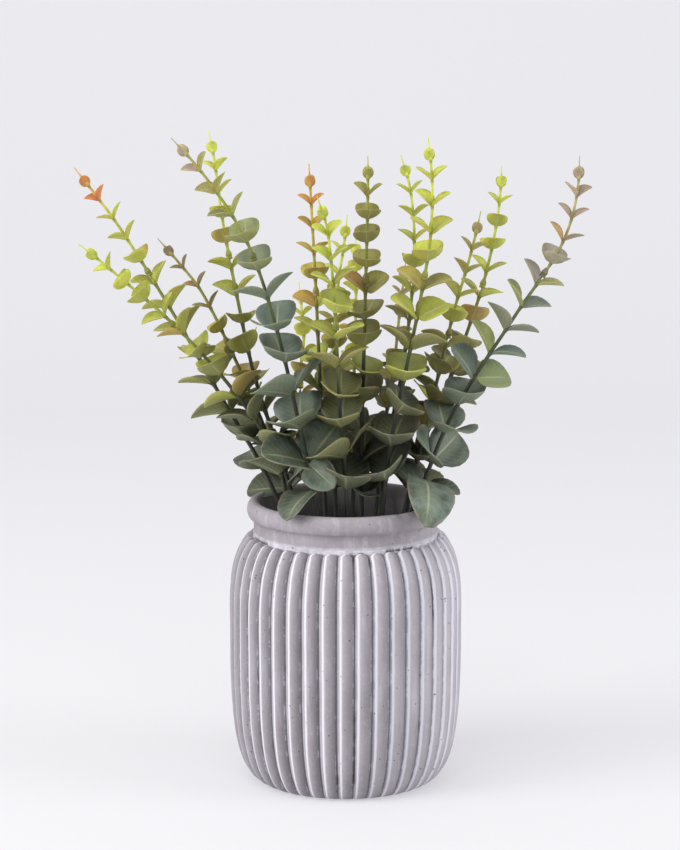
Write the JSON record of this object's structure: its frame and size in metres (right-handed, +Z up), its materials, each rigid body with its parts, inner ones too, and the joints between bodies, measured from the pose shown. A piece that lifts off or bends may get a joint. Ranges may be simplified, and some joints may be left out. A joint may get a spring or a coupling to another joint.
{
  "type": "artificial potted plant",
  "caption": "Artificial eucalyptus plant: leafy wired stems with bendable upper sprigs, standing in a ribbed, round-shouldered cement pot.",
  "frame": {"origin": "centre of the pot's underside, on the surface it stands on", "axes": "+Z up, -Y towards the viewer, +X to the viewer's right"},
  "size_m": [0.283, 0.1492, 0.3672],
  "materials": {
    "cement": "matte",
    "foam": "matte",
    "leaf_orange": "matte",
    "leaf_lime": "matte",
    "leaf_purple": "matte",
    "leaf_grey": "matte",
    "leaf_olive": "matte"
  },
  "bodies": {
    "planted_pot": {"pot": "cement", "foam_plug": "foam", "lower_stem_01": "leaf_orange", "lower_stem_02": "leaf_lime", "lower_stem_03": "leaf_purple", "lower_stem_04": "leaf_grey", "lower_stem_05": "leaf_lime", "lower_stem_06": "leaf_orange", "lower_stem_07": "leaf_lime", "lower_stem_08": "leaf_lime", "lower_stem_09": "leaf_olive", "lower_stem_10": "leaf_lime", "lower_stem_11": "leaf_lime", "lower_stem_12": "leaf_lime", "lower_stem_13": "leaf_purple", "lower_stem_14": "leaf_grey", "lower_stem_15": "leaf_lime", "lower_stem_16": "leaf_lime", "lower_stem_17": "leaf_olive"},
    "sprig_01": {"upper_sprig_01": "leaf_orange"},
    "sprig_02": {"upper_sprig_02": "leaf_lime"},
    "sprig_03": {"upper_sprig_03": "leaf_purple"},
    "sprig_04": {"upper_sprig_04": "leaf_grey"},
    "sprig_05": {"upper_sprig_05": "leaf_lime"},
    "sprig_06": {"upper_sprig_06": "leaf_orange"},
    "sprig_07": {"upper_sprig_07": "leaf_lime"},
    "sprig_08": {"upper_sprig_08": "leaf_lime"},
    "sprig_09": {"upper_sprig_09": "leaf_olive"},
    "sprig_10": {"upper_sprig_10": "leaf_lime"},
    "sprig_11": {"upper_sprig_11": "leaf_lime"},
    "sprig_12": {"upper_sprig_12": "leaf_lime"},
    "sprig_13": {"upper_sprig_13": "leaf_purple"},
    "sprig_14": {"upper_sprig_14": "leaf_grey"},
    "sprig_15": {"upper_sprig_15": "leaf_lime"},
    "sprig_16": {"upper_sprig_16": "leaf_lime"},
    "sprig_17": {"upper_sprig_17": "leaf_olive"}
  },
  "joints": [
    {"name": "sprig_bend_01", "type": "hinge", "parent": "planted_pot", "child": "sprig_01", "pos_m": [-0.1094, 0.0089, 0.28672], "axis": [-0.0686, -0.9976, 0], "range_deg": [-15, 20]},
    {"name": "sprig_bend_02", "type": "hinge", "parent": "planted_pot", "child": "sprig_02", "pos_m": [-0.09376, -0.02162, 0.26179], "axis": [0.153, -0.9882, 0], "range_deg": [-15, 20]},
    {"name": "sprig_bend_03", "type": "hinge", "parent": "planted_pot", "child": "sprig_03", "pos_m": [-0.06674, 0.02761, 0.24488], "axis": [-0.2922, -0.9564, 0], "range_deg": [-5, 20]},
    {"name": "sprig_bend_04", "type": "hinge", "parent": "planted_pot", "child": "sprig_04", "pos_m": [-0.04927, -0.0492, 0.30218], "axis": [0.4754, -0.8798, 0], "range_deg": [-15, 20]},
    {"name": "sprig_bend_05", "type": "hinge", "parent": "planted_pot", "child": "sprig_05", "pos_m": [-0.06552, 0.03028, 0.29368], "axis": [-0.5046, -0.8633, 0], "range_deg": [-15, 20]},
    {"name": "sprig_bend_06", "type": "hinge", "parent": "planted_pot", "child": "sprig_06", "pos_m": [-0.01623, -0.0091, 0.27799], "axis": [0.4169, -0.9089, 0], "range_deg": [-15, 20]},
    {"name": "sprig_bend_07", "type": "hinge", "parent": "planted_pot", "child": "sprig_07", "pos_m": [-0.00521, -0.04746, 0.26452], "axis": [0.9489, -0.3156, 0], "range_deg": [-15, 20]},
    {"name": "sprig_bend_08", "type": "hinge", "parent": "planted_pot", "child": "sprig_08", "pos_m": [-0.00614, 0.01755, 0.25002], "axis": [-0.9488, 0.3159, 0], "range_deg": [-15, 20]},
    {"name": "sprig_bend_09", "type": "hinge", "parent": "planted_pot", "child": "sprig_09", "pos_m": [0.01105, -0.02225, 0.28708], "axis": [0.9508, 0.3097, 0], "range_deg": [-15, 20]},
    {"name": "sprig_bend_10", "type": "hinge", "parent": "planted_pot", "child": "sprig_10", "pos_m": [0.03793, 0.02496, 0.28064], "axis": [-0.8902, 0.4555, 0], "range_deg": [-15, 20]},
    {"name": "sprig_bend_11", "type": "hinge", "parent": "planted_pot", "child": "sprig_11", "pos_m": [0.04269, -0.03755, 0.29048], "axis": [0.7686, 0.6397, 0], "range_deg": [-15, 20]},
    {"name": "sprig_bend_12", "type": "hinge", "parent": "planted_pot", "child": "sprig_12", "pos_m": [0.07743, 0.03178, 0.27714], "axis": [-0.4539, 0.891, 0], "range_deg": [-15, 20]},
    {"name": "sprig_bend_13", "type": "hinge", "parent": "planted_pot", "child": "sprig_13", "pos_m": [0.05716, 0.00659, 0.25227], "axis": [-0.143, 0.9897, 0], "range_deg": [-15, 20]},
    {"name": "sprig_bend_14", "type": "hinge", "parent": "planted_pot", "child": "sprig_14", "pos_m": [0.10775, -0.02578, 0.29051], "axis": [0.2436, 0.9699, 0], "range_deg": [-15, 20]},
    {"name": "sprig_bend_15", "type": "hinge", "parent": "planted_pot", "child": "sprig_15", "pos_m": [-0.02585, 0.04716, 0.21751], "axis": [-0.967, -0.2548, 0], "range_deg": [-15, 20]},
    {"name": "sprig_bend_16", "type": "hinge", "parent": "planted_pot", "child": "sprig_16", "pos_m": [0.00527, 0.06071, 0.23803], "axis": [-0.998, 0.0638, 0], "range_deg": [-15, 20]},
    {"name": "sprig_bend_17", "type": "hinge", "parent": "planted_pot", "child": "sprig_17", "pos_m": [0.02716, 0.05037, 0.22495], "axis": [-0.9059, 0.4235, 0], "range_deg": [-15, 20]}
  ]
}
